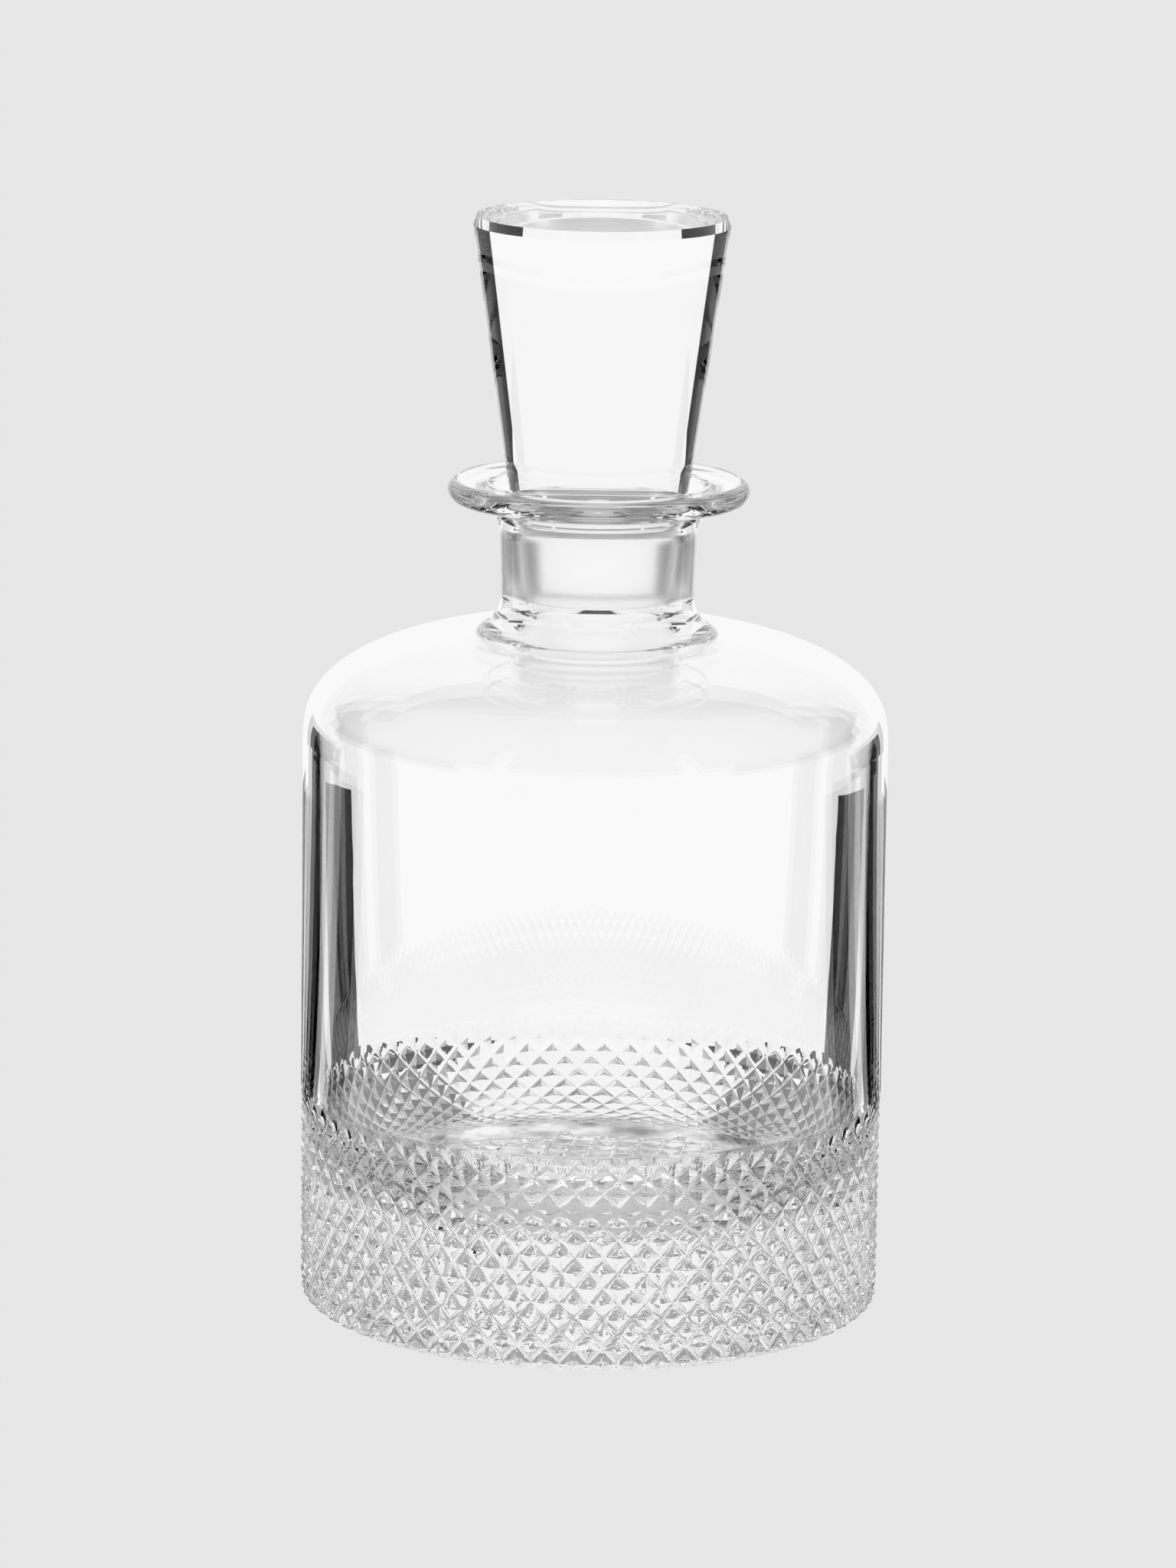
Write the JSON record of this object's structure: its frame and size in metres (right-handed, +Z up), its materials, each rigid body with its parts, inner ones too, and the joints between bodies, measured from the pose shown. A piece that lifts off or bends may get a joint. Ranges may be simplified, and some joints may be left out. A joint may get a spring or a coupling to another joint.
{
  "type": "wine decanter",
  "caption": "Cylindrical crystal wine decanter with a diamond-cut foot, a collared neck and a solid tapered stopper that lifts out.",
  "frame": {"origin": "middle of the underside, on the surface that the decanter stands on", "axes": "+Z up along the axis of turning; -Y is the front"},
  "size_m": [0.12, 0.12, 0.2257],
  "materials": {
    "body_crystal": "clear polished crystal, diamond-cut round the foot",
    "stopper_crystal": "clear polished crystal, satin ground plug"
  },
  "bodies": {
    "decanter": {"decanter_body": "body_crystal"},
    "stopper": {"stopper": "stopper_crystal"}
  },
  "joints": [
    {"name": "stopper_lift", "type": "slide", "parent": "decanter", "child": "stopper", "axis": [0, 0, 1], "range_m": [0, 0.1]}
  ]
}
